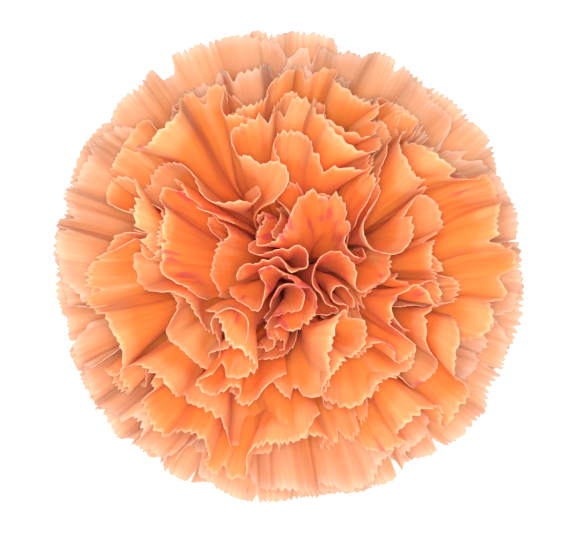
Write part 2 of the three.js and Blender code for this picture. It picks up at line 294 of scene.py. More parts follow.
# Growth is complete after a share of the steps, and the rest of them let the petals settle.
PETAL_STEPS = 340
GROWTH_SHARE = 0.65
SPEED_KEPT = 0.92
TOP_SPEED = 0.2
PUSH = 0.002
PUSH_DOWN = -0.3

# Petals that rise above a nearly flat ceiling sink back, so the face of the bloom stays level.
CEILING_HEIGHT = 27
CEILING_CURVE = 0.001
CEILING_PULL = 0.1


def reach(petal):
    """How far out each point of a blade lies, from 0 to 1: its far corners are rounded off."""
    return ALONG * (1 - petal["rounding"] * ACROSS**2)


def ripple(seed, waves):
    """A smooth random ripple across a blade, from (waves across, height) pairs."""
    rng = np.random.default_rng(seed)
    total = np.zeros_like(ALONG)
    for count, height in waves:
        total += height * np.sin(np.pi * count * ACROSS + rng.uniform(0, 2 * np.pi))
    return total


def start_in_whorl(petal):
    whorl = WHORLS[petal["ring"]]
    distance = petal["length"] * reach(petal)
    radius, height, bent = whorl_profile(petal["ring"], petal["lean"], distance)
    opening = np.minimum(ALONG / FULL_WIDTH_SHARE, 1)
    widening = np.sin(np.pi / 2 * opening) ** WIDENING_POWER
    half_width = mix(CLAW_WIDTH, whorl["width"], widening) / 2
    room = np.pi / whorl["petals"] - NEIGHBOUR_GAP / 2 / radius
    half_angle = np.minimum(half_width / radius, room)
    lift = ripple(petal["seed"], WHORL_RIPPLES) * smooth(ALONG, 0.15, 0.8)
    lift = lift + LAP * ACROSS * smooth(ALONG, 0.3, 1)
    radius = radius - lift * np.cos(bent)
    height = height + lift * np.sin(bent)
    angle = petal["angle"] + ACROSS * half_angle
    return stacked(radius * np.cos(angle), radius * np.sin(angle), height)


def start_in_heart(petal):
    heart = HEART_PETALS[petal["member"]]
    rise = ALONG * heart["height"]
    opened = (rise / HEART_HEIGHT) ** HEART_OPENING_POWER
    axis = mix(HEART_START, HEART_RADIUS, opened)
    spread = mix(HEART_START_SPREAD, HEART_SPREAD, opened)
    narrow = HEART_CLAW_WIDTH / 2
    lift = ripple(petal["seed"], HEART_RIPPLES) * smooth(ALONG, 0.3, 1)
    if "fold" in heart:
        half_width = narrow / 2 + FOLD_SHARE * (spread - HEART_START_SPREAD)
        outwards = heart["fold"] * half_width * np.sin(np.pi * ACROSS) * ALONG + lift
        sideways = ACROSS * half_width
    else:
        span = mix(narrow / HEART_START_SPREAD, math.radians(heart["span"]), ALONG)
        facing = math.radians(heart["facing"])
        turn = facing + ACROSS * span * math.cos(facing)
        distance = spread - np.abs(lift) / 2
        outwards = distance * np.cos(turn)
        sideways = distance * np.sin(turn)
    radius = axis + outwards
    cos, sin = math.cos(petal["angle"]), math.sin(petal["angle"])
    x = radius * cos - sideways * sin
    y = radius * sin + sideways * cos
    return stacked(x, y, CLAW_TOP + heart["height"] * reach(petal))


def swirl(points):
    """Turns the space inside the bloom about each swirl's axis, so that layers never cross."""
    points = points.copy()
    for x, y, width, turn in SWIRLS:
        dx = points[..., 0] - x
        dy = points[..., 1] - y
        angle = turn * np.exp(-(dx**2 + dy**2) / width**2)
        angle = angle * smooth(points[..., 2], CLAW_TOP + SWIRL_START, CLAW_TOP + SWIRL_FULL)
        points[..., 0] = x + dx * np.cos(angle) - dy * np.sin(angle)
        points[..., 1] = y + dx * np.sin(angle) + dy * np.cos(angle)
    return points


def list_petals():
    """Every petal's name, place and growth, with its own small random differences.

    Each later use of a petal's seed adds a number of its own to it, so that no two share a pattern.
    """
    rng = np.random.default_rng(34)
    petals = []
    for ring, whorl in enumerate(WHORLS):
        flat = ring < FLAT_WHORLS
        jitter = whorl["jitter"]
        stretch = OUTLINE_STRETCH if ring < OUTLINE_WHORLS else 1
        for i in range(whorl["petals"]):
            turn = whorl["turn"] + 360 / whorl["petals"] * i + rng.uniform(-jitter, jitter)
            petals.append(dict(
                node=f"petal_{ring + 1}_{i + 1}",
                ring=ring,
                angle=math.radians(turn),
                lean=math.radians(whorl["lean"] + rng.uniform(-jitter, jitter) / 2),
                length=whorl["length"] * stretch * rng.uniform(whorl["shortest"], LONGEST),
                rounding=FLAT_ROUNDING if flat else ROUNDING,
                rim=whorl["width"] * whorl["fullness"],
                claw=CLAW_WIDTH,
                frill=whorl["frill"],
                stiff=whorl["stiff"],
                hold=FLAT_HOLD if flat else HOLD,
                push=0,
                stray=rng.normal(0, 1, 3) * (FLAT_STRAY if flat else STRAY),
                seed=100 * ring + i,
            ))
    for heart in range(HEARTS):
        cup = heart == CUP
        for member, shape in enumerate(HEART_PETALS):
            turn = HEART_TURN + 360 / HEARTS * heart + rng.uniform(-HEART_JITTER, HEART_JITTER)
            petals.append(dict(
                node=f"heart_petal_{heart + 1}_{member + 1}",
                ring=len(WHORLS) + member,
                member=member,
                angle=math.radians(turn),
                length=shape["height"] * rng.uniform(1, HEART_LONGEST),
                rim=shape["width"] * (CUP_WIDTH_SHARE if cup else 1),
                claw=HEART_CLAW_WIDTH,
                rounding=HEART_ROUNDING,
                frill=CUP_FRILL if cup else HEART_FRILL,
                stiff=CUP_STIFF if cup else HEART_STIFF,
                hold=HEART_HOLD,
                push=shape["push"],
                stray=rng.normal(0, 1, 3) * HEART_STRAY,
                seed=900 + 10 * heart + member,
            ))
    return petals


def flat_blade(petal):
    """The blade laid flat, before it grows."""
    opening = petal["rim"] / (petal["length"] + FAN_START)
    distance = petal["claw"] / opening + petal["length"] * reach(petal)
    angle = ACROSS * opening / 2
    return stacked(distance * np.sin(angle), distance * np.cos(angle))


def rim_growth(seed):
    """Where a blade grows wider: its outer half, most at the rim, in uneven patches."""
    rng = np.random.default_rng(seed + 50)
    patches = np.zeros_like(ALONG)
    for count in PATCH_WAVES:
        patches += np.sin(np.pi * count * ACROSS + rng.uniform(0, 2 * np.pi)) / 2
    return smooth(ALONG, 0.5, 1) * (1 + PATCHES * patches)


def close_pairs(points, within, petal, row, column):
    """Pairs of points nearer than within, but not near neighbours in one blade.

    Points are sorted into cubes of that size. Each cube is searched with the ones next to it on one
    side only, in runs of three that lie one above another, so every pair is found once.
    """
    cell = ((points - points.min(0)) / within).astype(np.int64) + 1
    size = cell.max(0) + 2
    key = (cell[:, 0] * size[1] + cell[:, 1]) * size[2] + cell[:, 2]
    order = np.argsort(key, kind="stable")
    start = np.concatenate([[0], np.cumsum(np.bincount(key, minlength=int(size.prod())))])
    firsts, seconds = [], []
    for dx, dy in ((0, 0), (0, 1), (1, -1), (1, 0), (1, 1)):
        other = key + (dx * size[1] + dy) * size[2]
        low = start[other] if dx == dy == 0 else start[other - 1]
        count = start[other + 2] - low
        first = np.repeat(np.arange(len(points)), count)
        step = np.arange(count.sum()) - np.repeat(np.cumsum(count) - count, count)
        second = order[np.repeat(low, count) + step]
        apart = points[second] - points[first]
        keep = np.einsum("ij,ij->i", apart, apart) < within * within
        if dx == dy == 0:
            keep &= (key[first] != key[second]) | (second > first)
        firsts.append(first[keep])
        seconds.append(second[keep])
    first, second = np.concatenate(firsts), np.concatenate(seconds)
    near = petal[first] == petal[second]
    near &= abs(row[first] - row[second]) <= 2
    near &= abs(column[first] - column[second]) <= 2
    return first[~near], second[~near]


def springs(points, flat, growth, stiffness):
    """The springs of every blade, in groups that share no point: ends, force, first and last length."""
    groups = []
    count = len(points)
    for rows, columns, strength in SPRINGS:
        low_rows, high_rows = slice(0, ROWS - rows), slice(rows, ROWS)
        low = slice(max(-columns, 0), COLUMNS - max(columns, 0))
        high = slice(max(columns, 0), COLUMNS + min(columns, 0))
        wider = (growth[:, low_rows, low] + growth[:, high_rows, high]) / 2
        along = flat[:, high_rows, low] - flat[:, low_rows, low] if rows else 0
        across = flat[:, high_rows, high] - flat[:, high_rows, low] if columns else 0
        rest = np.linalg.norm(along + across * wider, axis=-1)
        now = np.linalg.norm(points[:, high_rows, high] - points[:, low_rows, low], axis=-1)
        bends = max(rows, abs(columns)) > 1
        force = strength * stiffness[None, :, None] if bends else strength
        for turn in (0, 1):
            r, c = np.arange(ROWS - rows), np.arange(low.start, low.stop)
            if rows:
                r = r[(r // rows) % 2 == turn]
            else:
                c = c[(c // columns) % 2 == turn]
            first = (r[:, None] * COLUMNS + c).ravel()
            second = ((r + rows)[:, None] * COLUMNS + c + columns).ravel()
            pick = (slice(None), r[:, None], (c - low.start)[None, :])
            start = now[pick].reshape(count, -1).T[..., None]
            end = rest[pick].reshape(count, -1).T[..., None]
            groups.append((first, second, force / 2, start.copy(), end.copy()))
    return groups


def part_sheets(cloud, near, far, least):
    """How far each point moves away from the points of other sheets that it is too near to."""
    apart = cloud[far] - cloud[near]
    length = np.sqrt(np.einsum("ij,ij->i", apart, apart))
    touching = length < least
    i, j = near[touching], far[touching]
    overlap = (least[touching] - length[touching]) / np.maximum(length[touching], TINY) / 2
    push = apart[touching] * overlap[:, None]
    size = len(cloud)
    moves = [np.bincount(j, push[:, k], size) - np.bincount(i, push[:, k], size) for k in range(3)]
    touches = np.bincount(i, minlength=size) + np.bincount(j, minlength=size)
    share = CONTACT_SHARE / np.maximum(touches, CONTACT_SHARE)
    return np.stack(moves, -1) * share[:, None]


def grow(petals, steps):
    """The blades' points after growth: petal, row, column, xyz."""
    count = len(petals)
    start = [start_in_heart(p) if "member" in p else start_in_whorl(p) for p in petals]
    points = swirl(np.stack(start))
    flat = np.stack([flat_blade(p) for p in petals])
    growth = np.stack([1 + p["frill"] * rim_growth(p["seed"]) for p in petals])[..., None]
    stiffness = np.array([p["stiff"] for p in petals])
    groups = springs(points, flat, growth, stiffness)
    hold = np.array([p["hold"] for p in petals])[None, None, :, None]

    # From here on the points are in one list by row, column and petal, so blades move together.
    size = ROWS * COLUMNS
    points = points.reshape(count, size, 3).transpose(1, 0, 2).copy()
    row_of = np.repeat(np.arange(ROWS), COLUMNS)
    free = (row_of >= HELD_ROWS).astype(float)[:, None, None]
    gap = mix(CLAW_END_GAP, SHEET_GAP, smooth(row_of / (ROWS - 1), 0, FULL_GAP_SHARE))
    radius = np.repeat(gap / 2, count)
    petal = np.tile(np.arange(count), size)
    row = np.repeat(row_of, count)
    column = np.repeat(np.tile(np.arange(COLUMNS), ROWS), count)
    free_flat = np.repeat(free[:, 0], count, axis=0)
    middle = points.reshape(ROWS, COLUMNS, count, 3).mean(1, keepdims=True)
    stray = np.stack([p["stray"] for p in petals])
    middle = middle + stray * (np.linspace(0, 1, ROWS) ** 2)[:, None, None, None]
    floor_level = PETAL_THICKNESS - ORIGIN[2]
    outwards = np.array([
        [
            math.cos(p["angle"]) * p["push"],
            math.sin(p["angle"]) * p["push"],
            PUSH_DOWN * abs(p["push"]),
        ]
        for p in petals
    ])
    opening = PUSH * outwards[None] * smooth(row_of / (ROWS - 1), 0.4, 1)[:, None, None]
    before = points.copy()
    for step in range(steps):
        grown = min(1, step / (steps * GROWTH_SHARE))
        speed = (points - before) * SPEED_KEPT
        length = np.linalg.norm(speed, axis=-1, keepdims=True)
        speed *= np.minimum(1, TOP_SPEED / np.maximum(length, TINY))
        before = points.copy()
        points = points + (speed + opening) * free
        for first, second, force, now, rest in groups:
            a, b = points[first], points[second]
            apart = b - a
            length = np.sqrt(np.einsum("ijk,ijk->ij", apart, apart))[..., None]
            move = apart * ((length - mix(now, rest, grown)) / np.maximum(length, TINY) * force)
            points[first] = a + move * free[first]
            points[second] = b - move * free[second]
        grid = points.reshape(ROWS, COLUMNS, count, 3)
        drift = middle - grid.mean(1, keepdims=True)
        grid = grid + hold * drift * free.reshape(ROWS, COLUMNS, 1, 1)
        cloud = grid.reshape(-1, 3)
        if step % CONTACT_EVERY == 0:
            near, far = close_pairs(cloud, CONTACT_REACH, petal, row, column)
            least = radius[near] + radius[far]
        cloud = cloud + part_sheets(cloud, near, far, least) * free_flat
        ceiling = CLAW_TOP + CEILING_HEIGHT - CEILING_CURVE * (cloud[:, 0] ** 2 + cloud[:, 1] ** 2)
        cloud[:, 2] -= np.maximum(cloud[:, 2] - ceiling, 0) * CEILING_PULL * free_flat[:, 0]
        below = np.minimum(cloud @ AXES[:, 2] - floor_level, 0)
        cloud = cloud - below[:, None] * AXES[:, 2]
        points = cloud.reshape(size, count, 3)
    return points.transpose(1, 0, 2).reshape(count, ROWS, COLUMNS, 3)


# ---- Meshes ----


def spline_weights(place, count):
    """Cubic B-spline weights at fractional places among count points, ends reached exactly."""
    first = np.minimum(place.astype(int), count - 2)
    f = place - first
    weights = np.stack([
        (1 - f) ** 3, 3 * f**3 - 6 * f**2 + 4, -3 * f**3 + 3 * f**2 + 3 * f + 1, f**3
    ]) / 6
    return first, weights


def with_ends(points):
    """Adds one point past each end of the first axis, in line with the last two."""
    return np.concatenate([2 * points[:1] - points[1:2], points, 2 * points[-1:] - points[-2:-1]])


def spline(points, place):
    """Points along the first axis at fractional places: place is (n,) or (n, columns)."""
    first, weights = spline_weights(place, len(points))
    padded = with_ends(points)
    total = 0
    for k in range(4):
        if place.ndim == 1:
            total = total + weights[k][:, None, None] * padded[first + k]
        else:
            columns = np.arange(points.shape[1])[None, :]
            total = total + weights[k][..., None] * padded[first + k, columns]
    return total


def normals(middle, closed=False):
    """Unit normals of a grid of points."""
    along = np.gradient(middle, axis=0)
    if closed:
        across = (np.roll(middle, -1, 1) - np.roll(middle, 1, 1)) / 2
    else:
        across = np.gradient(middle, axis=1)
    normal = np.cross(across, along)
    return normal / np.maximum(np.linalg.norm(normal, axis=-1, keepdims=True), TINY)


def grid_corners(ids):
    """The four corners of every face of a grid of point numbers."""
    return ids[:-1, :-1], ids[:-1, 1:], ids[1:, 1:], ids[1:, :-1]


def solid_sheet(name, middle, thickness, place, kin=(0, 0, 0), closed=False):
    """A closed solid about a grid of points. With closed set, its columns join up as in a tube."""
    rows, columns = middle.shape[:2]
    half = np.broadcast_to(thickness, (rows, columns))[..., None] / 2
    offset = normals(middle, closed) * half
    points = np.concatenate([(middle + offset).reshape(-1, 3), (middle - offset).reshape(-1, 3)])
    ids = np.arange(rows * columns).reshape(rows, columns)
    if closed:
        ids = np.concatenate([ids, ids[:, :1]], axis=1)
    back = rows * columns
    a, b, c, d = grid_corners(ids)
    faces = [np.stack([a, b, c, d], -1), np.stack([d, c, b, a], -1) + back]
    edges = [ids[0], ids[-1, ::-1]]
    if not closed:
        edges += [ids[::-1, 0], ids[:, -1]]
    for edge in edges:
        faces.append(np.stack([edge[:-1], edge[:-1] + back, edge[1:] + back, edge[1:]], -1))
    faces = np.concatenate([f.reshape(-1, 4) for f in faces])
    return write_mesh(name, points, faces.tolist(), np.concatenate([place.reshape(-1, 3)] * 2), kin)


def solid_tube(name, rings, place):
    """A closed solid from rings of points, with a flat face at each end."""
    ids = np.arange(rings.shape[0] * rings.shape[1]).reshape(rings.shape[:2])
    ids = np.concatenate([ids, ids[:, :1]], axis=1)
    faces = np.stack(grid_corners(ids), -1).reshape(-1, 4).tolist()
    faces.append(ids[0, :-1][::-1].tolist())
    faces.append(ids[-1, :-1].tolist())
    return write_mesh(name, rings.reshape(-1, 3), faces, place.reshape(-1, 3))


def write_mesh(name, points, faces, place, kin=(0, 0, 0)):
    """Makes a piece whose points carry their place on it and its own random numbers, kin."""
    mesh = bpy.data.meshes.new(name)
    mesh.from_pydata(to_world(points).tolist(), [], faces)
    mesh.polygons.foreach_set("use_smooth", [True] * len(mesh.polygons))
    for label, values in (("place", place), ("kin", np.broadcast_to(kin, (len(points), 3)))):
        attribute = mesh.attributes.new(label, "FLOAT_VECTOR", "POINT")
        attribute.data.foreach_set("vector", np.ascontiguousarray(values, dtype=np.float32).ravel())
    mesh.update()
    piece = bpy.data.objects.new(name, mesh)
    bpy.context.scene.collection.objects.link(piece)
    return piece


def finish_piece(piece, node, material):
    piece.data.materials.append(material)
    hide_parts(node)
    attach(piece, "root")


# ---- Petals ----

FINE_COLUMNS = 221
FINE_ROWS = 38
ROW_CROWDING = 1.5
CLAW_ROWS = 5
CLAW_FOOT_SHARE = 0.8
RIM_THICKNESS = 0.14
RIM_TAPER = 6

# The rim's teeth, the broader lobes that they stand on, deep notches here and there, and how much
# shorter the petal is at its corners.
TOOTH_PITCH = 1.3
TOOTH_DEPTH = 1.75
LOBE_PITCH = 4.5
LOBE_DEPTH = 1.3
NOTCH_PITCH = 2.6
NOTCH_DEPTH = 3
CORNER_DEPTH = 3.5

# Fine waves near the rim: length and height. They are weaker on the outline's whorls.
CRINKLES = [(2.3, 0.11), (3.4, 0.18), (5.6, 0.26)]
OUTER_CRINKLE = 0.5


def value_noise(place, seed):
    """Smooth random values from -1 to 1, one knot for each whole number."""
    knots = np.random.default_rng(seed).uniform(-1, 1, int(place.max()) + 3)
    whole = place.astype(int)
    share = smooth(place - whole, 0, 1)
    return mix(knots[whole], knots[whole + 1], share)


def rim_depth(across, width, seed):
    """How far the toothed rim is cut back at each place across, in millimetres.

    No two teeth are alike: each value_noise call varies one thing about them, over its own distance.
    """
    distance = (across + 1) / 2 * width
    shifted = distance + 0.7 * value_noise(distance / 1.9, seed + 1)
    along = shifted / TOOTH_PITCH % 1
    lean = 0.5 + 0.25 * value_noise(distance / 4, seed + 2)
    saw = np.where(along < lean, 1 - along / lean, (along - lean) / (1 - lean))
    each_tooth = 0.55 + 0.45 * value_noise(distance / 2.2, seed + 3)
    each_stretch = 0.7 + 0.3 * value_noise(distance / 9, seed + 6)
    teeth = saw * (TOOTH_DEPTH * each_tooth * each_stretch)
    lobes = LOBE_DEPTH * (0.5 + 0.5 * value_noise(distance / LOBE_PITCH, seed + 4))
    notch = NOTCH_DEPTH * np.maximum(value_noise(distance / NOTCH_PITCH, seed + 5) - 0.6, 0) / 0.4
    corner = CORNER_DEPTH * smooth(np.abs(across), 0.8, 1) ** 1.5
    return teeth + lobes + notch + corner


def crinkle(along, across, petal):
    """Fine waves near a petal's rim, in millimetres, stronger in some places than in others."""
    rng = np.random.default_rng(petal["seed"] + 20)
    distance = (across + 1) / 2 * petal["rim"]
    waves = 0
    for wave_length, height in CRINKLES:
        phase = 2 * np.pi * rng.uniform() + 1.5 * value_noise(distance / 6, petal["seed"] + 21)
        waves = waves + height * np.sin(2 * np.pi * distance / wave_length + phase)
    patches = 0.6 + 0.4 * value_noise(distance / 5, petal["seed"] + 22)
    patches *= OUTER_CRINKLE if petal["ring"] < OUTLINE_WHORLS else 1
    return (waves * patches)[None, :] * smooth(along, 0.35, 1)


def make_petal(petal, blade, material):
    """A fine blade with a toothed rim, on a claw that runs down to the receptacle."""
    across = np.linspace(-1, 1, FINE_COLUMNS)
    columns = spline(blade.transpose(1, 0, 2), (across + 1) / 2 * (COLUMNS - 1)).transpose(1, 0, 2)
    length = petal["length"]
    cut = rim_depth(across, petal["rim"] * (1 + petal["frill"]), petal["seed"])
    share = 1 - (1 - np.linspace(0, 1, FINE_ROWS)) ** ROW_CROWDING
    along = share[:, None] * (1 - cut / length)[None, :]
    points = spline(columns, along * (ROWS - 1))
    points += normals(points) * crinkle(along, across, petal)[..., None]

    foot_radius = claw_base_radius(petal["ring"])
    angle = petal["angle"] + across * petal["claw"] / 2 / foot_radius * CLAW_FOOT_SHARE
    foot = stacked(foot_radius * np.cos(angle), foot_radius * np.sin(angle), CLAW_BASE)
    down = np.linspace(0, 1, CLAW_ROWS + 1)[:-1, None, None]
    points = np.concatenate([mix(foot[None], points[:1], down), points])

    rim_distance = (1 - share[:, None]) * (length - cut)[None, :]
    distance = np.concatenate([np.full((CLAW_ROWS, FINE_COLUMNS), length), rim_distance])
    height = np.concatenate([np.zeros((CLAW_ROWS, FINE_COLUMNS)), along])
    place = stacked(height, across, distance)
    thickness = mix(RIM_THICKNESS, PETAL_THICKNESS, smooth(distance, 0, RIM_TAPER))
    chance, pattern = np.random.default_rng(petal["seed"] + 7).uniform(0, 1, 2)
    kin = (chance, pattern, 0)
    piece = solid_sheet(petal["node"] + "_petal", points, thickness, place, kin)
    finish_piece(piece, petal["node"], material)


# ---- Materials ----

CLAW_COLOR = "E4D6A6"
FLECK_COLOR = "E6566A"


def rgb(code):
    """A linear colour from a hex code of sRGB."""
    values = [int(code[i:i + 2], 16) / 255 for i in (0, 2, 4)]
    linear = [((v + 0.055) / 1.055) ** 2.4 if v > 0.04045 else v / 12.92 for v in values]
    return (*linear, 1)


class Shader:
    """A material's node tree, with short calls for the nodes used here."""

    def __init__(self, name):
        self.material = bpy.data.materials.new(name)
        self.material.use_nodes = True
        self.tree = self.material.node_tree
        self.surface = self.tree.nodes["Principled BSDF"]
        self.output = self.tree.nodes["Material Output"]

    def set(self, socket, value):
        if isinstance(value, bpy.types.NodeSocket):
            self.tree.links.new(value, socket)
        else:
            socket.default_value = value

    def node(self, kind, inputs, **options):
        node = self.tree.nodes.new(kind)
        for key, value in options.items():
            setattr(node, key, value)
        for key, value in inputs.items():
            self.set(node.inputs[key], value)
        return node

    def math(self, operation, a, b):
        return self.node("ShaderNodeMath", {0: a, 1: b}, operation=operation).outputs[0]

    def blend(self, share, a, b):
        node = self.node("ShaderNodeMix", {0: share, 6: a, 7: b}, data_type="RGBA")
        return node.outputs[2]

    def lerp(self, share, a, b):
        return self.node("ShaderNodeMix", {0: share, 2: a, 3: b}, data_type="FLOAT").outputs[0]

    def between(self, value, low, high, start=0.0, end=1.0):
        """Goes smoothly from start to end while value goes from low to high."""
        inputs = {0: value, 1: low, 2: high, 3: start, 4: end}
        node = self.node("ShaderNodeMapRange", inputs, interpolation_type="SMOOTHSTEP")
        return node.outputs[0]

    def parts(self, attribute):
        vector = self.node("ShaderNodeAttribute", {}, attribute_name=attribute).outputs["Vector"]
        return self.node("ShaderNodeSeparateXYZ", {0: vector}).outputs

    def noise(self, x, y, z, detail=2.0, roughness=0.5):
        vector = self.node("ShaderNodeCombineXYZ", {0: x, 1: y, 2: z}).outputs[0]
        inputs = {"Vector": vector, "Scale": 1.0, "Detail": detail, "Roughness": roughness}
        return self.node("ShaderNodeTexNoise", inputs).outputs["Fac"]

    def bump(self, height, strength, distance):
        inputs = {"Height": height, "Strength": strength, "Distance": distance}
        self.set(self.surface.inputs["Normal"], self.node("ShaderNodeBump", inputs).outputs[0])

    def finish(self, color, roughness, **sockets):
        self.set(self.surface.inputs["Base Color"], color)
        self.set(self.surface.inputs["Roughness"], roughness)
        for name, value in sockets.items():
            self.surface.inputs[name.replace("_", " ")].default_value = value

    def let_light_through(self, color, share):
        """Mixes in light that passes through a thin leaf or petal from behind."""
        richer = self.node("ShaderNodeGamma", {"Color": color, "Gamma": 1.25}).outputs[0]
        through = self.node("ShaderNodeBsdfTranslucent", {"Color": richer}).outputs[0]
        inputs = {0: share, 1: self.surface.outputs[0], 2: through}
        mixed = self.node("ShaderNodeMixShader", inputs).outputs[0]
        self.tree.links.new(mixed, self.output.inputs["Surface"])


def petal_material(name, deep, middle, light, rim, fade, band, flecks):
    """Deep red-orange in the throat, paler outwards, with a pale rim, fine veins and a few pink flecks.
    The deep throat colour is partly the petal's own colour and partly painted shade: it is set redder
    and darker so that the bloom's shaded depths come out red-orange.

    The paler part starts at fade millimetres from the rim, and the pale rim is about band wide.
    Flecks is how much more of them the most flecked petal has.
    """
    shader = Shader(name)
    along, across, distance = shader.parts("place")
    chance, pattern, _ = shader.parts("kin")
    shift = shader.math("MULTIPLY", pattern, 37.0)

    cloud_x = shader.math("MULTIPLY", across, 3.0)
    cloud_y = shader.math("MULTIPLY", along, 2.5)
    cloud = shader.noise(cloud_x, cloud_y, shift, detail=3.0)
    spread = shader.math("ADD", distance, shader.between(cloud, 0.3, 0.7, -3.0, 3.0))
    # Painted shade, in part: the deep colour in the lower blade, which sits down in the bloom's throat,
    # stands in for the red shade of the depths as well as the petal's own deeper base.
    color = shader.blend(shader.between(along, 0.25, 0.75), rgb(deep), rgb(middle))
    color = shader.blend(shader.between(along, 0.03, 0.2), rgb(CLAW_COLOR), color)
    color = shader.blend(shader.between(spread, fade, 1.0), color, rgb(light))
    from_rim = shader.math("ADD", distance, shader.math("MULTIPLY", cloud, band))
    color = shader.blend(shader.between(from_rim, 2 * band, band * 0.4), color, rgb(rim))

    vein_x = shader.math("MULTIPLY", across, 42.0)
    vein_y = shader.math("MULTIPLY", along, 3.0)
    veins = shader.noise(vein_x, vein_y, shift, detail=3.0, roughness=0.6)
    color = shader.blend(shader.between(veins, 0.35, 0.62, 0.0, 0.16), color, rgb(deep))

    streak_x = shader.math("MULTIPLY", across, 8.0)
    streak_y = shader.math("MULTIPLY", along, 3.4)
    streaks = shader.noise(streak_x, streak_y, shift, roughness=0.55)
    level = shader.lerp(chance, 0.74, 0.74 - flecks)
    fleck = shader.between(streaks, level, shader.math("ADD", level, 0.07))
    near_rim = shader.between(distance, 9.0, 4.0, 0.0, 0.65)
    color = shader.blend(shader.math("MULTIPLY", fleck, near_rim), color, rgb(FLECK_COLOR))

    pleats = shader.noise(shader.math("MULTIPLY", across, 11.0), along, shift)
    pleats = shader.math("MULTIPLY", pleats, shader.between(along, 0.3, 0.9, 0.0, 1.8))
    shader.bump(shader.math("ADD", veins, pleats), 0.5, 0.0003)
    shader.finish(color, 0.55, Specular_IOR_Level=0.3, Sheen_Weight=0.1, Sheen_Roughness=0.5)
    shader.let_light_through(color, 0.55)
    return shader.material


def green_material(name, dark, light, pale, ribs):
    """Waxy green with fine ribs along it, a pale bloom, and paler edges where place z is 1."""
    shader = Shader(name)
    along, across, edge = shader.parts("place")
    rib_x = shader.math("MULTIPLY", across, ribs)
    rib = shader.noise(rib_x, shader.math("MULTIPLY", along, 2.0), 0.0, roughness=0.6)
    cloud_x = shader.math("MULTIPLY", across, 3.0)
    cloud_y = shader.math("MULTIPLY", along, 5.0)
    cloud = shader.noise(cloud_x, cloud_y, 2.0, detail=4.0, roughness=0.6)
    color = shader.blend(shader.between(rib, 0.3, 0.7), rgb(dark), rgb(light))
    color = shader.blend(shader.between(cloud, 0.45, 0.75, 0.0, 0.5), color, rgb(pale))
    color = shader.blend(shader.between(edge, 0.0, 1.0, 0.0, 0.85), color, rgb(pale))
    shader.bump(rib, 0.5, 0.0002)
    shader.finish(color, 0.5, Specular_IOR_Level=0.35)
    shader.let_light_through(color, 0.1)
    return shader.material


# ---- Green parts ----

# A tube's end face is this small where it should look like a whole surface.
POINT_RADIUS = 0.02
CALYX_RIBS_PER_TOOTH = 7
CALYX_RIB_DEPTH = 0.07
CALYX_SWELLING = 0.25
CALYX_EDGE = 0.3
BRACT_TIP_WIDTH = 0.28
BRACT_EDGE = 0.2
BRACT_CLEARANCE = 0.25
STEM_SIDES = 48
STEM_RIDGES = 8
STEM_RIDGE_DEPTH = 0.012
CUT_PITH_DEPTH = 0.5
LEAF_TIP_WIDTH = 0.35
LEAF_EDGE = 0.22
LEAF_WAVE = 0.18
LEAF_CLASP_SHARE = 0.14
LEAF_CLASP_ANGLE = 84
LEAF_FOOT_GAP = 0.35
LEAF_ROOT_GAP = 0.25
LEAF_TIP_LIFT = 0.25


def make_calyx(material):
    columns, rows = CALYX_TEETH * 24, 48
    across = np.arange(columns) / columns
    along = np.linspace(0, 1, rows)
    tooth = np.abs((across * CALYX_TEETH) % 1 - 0.5) * 2
    point = 1 - (1 - tooth) ** 1.25
    top = CALYX_LENGTH - CALYX_TOOTH_LENGTH * (1 - point)
    height = top[None, :] * along[:, None] ** 1.2
    ribs = CALYX_RIB_DEPTH * np.cos(2 * np.pi * across * CALYX_TEETH * CALYX_RIBS_PER_TOOTH)
    radius = calyx_radius(height) + ribs * smooth(height, 1, 6)
    radius = radius + CALYX_SWELLING * np.sin(np.pi * height / CALYX_LENGTH)
    angle = 2 * np.pi * across
    middle = stacked(radius * np.cos(angle), radius * np.sin(angle), height + CALYX_LIFT)
    from_edge = top[None, :] - height
    place = stacked(height / CALYX_LENGTH, across * 6, 1 - smooth(from_edge, 0, 0.9))
    thickness = mix(CALYX_EDGE, CALYX_WALL, smooth(from_edge, 0, 3))
    piece = solid_sheet("calyx_tube", middle, thickness, place, closed=True)
    finish_piece(piece, "calyx", material)


def make_bract(number, pair, angle, material):
    """A broad scale that narrows to an awn, on the calyx or on the pair of scales inside it."""
    across = np.linspace(-1, 1, 25)[None, :]
    along = np.linspace(0, 1, 30)[:, None]
    awn = smooth(along, 0.5, 1)
    shape = np.cos(np.pi / 2 * along**1.5) * mix(0.9, 1, smooth(along, 0, 0.3)) * (1 - 0.5 * awn)
    half_width = np.maximum(BRACT_WIDTH * shape, BRACT_TIP_WIDTH) / 2
    height = BRACT_BASE_HEIGHT + BRACT_LENGTHS[pair] * along * (1 - 0.03 * across**2)
    gap = CALYX_WALL / 2 + SEAT_GAP + BRACT_THICKNESS / 2 + BRACT_CLEARANCE
    over_pair = pair * (BRACT_THICKNESS + SEAT_GAP) * (1 - along)
    radius = calyx_radius(height) + gap + over_pair + 0.4 * awn - 0.1 * np.abs(across)
    turn = angle + across * half_width / radius
    middle = stacked(radius * np.cos(turn), radius * np.sin(turn), height + CALYX_LIFT)
    edge = np.maximum(smooth(np.abs(across), 0.86, 1), smooth(along, 0.85, 1))
    place = stacked(along, across * 0.6, edge)
    thickness = mix(BRACT_THICKNESS, BRACT_EDGE, np.maximum(np.abs(across) ** 3, along**3))
    piece = solid_sheet(f"bract_{number}_scale", middle, thickness, place)
    finish_piece(piece, f"bract_{number}", material)


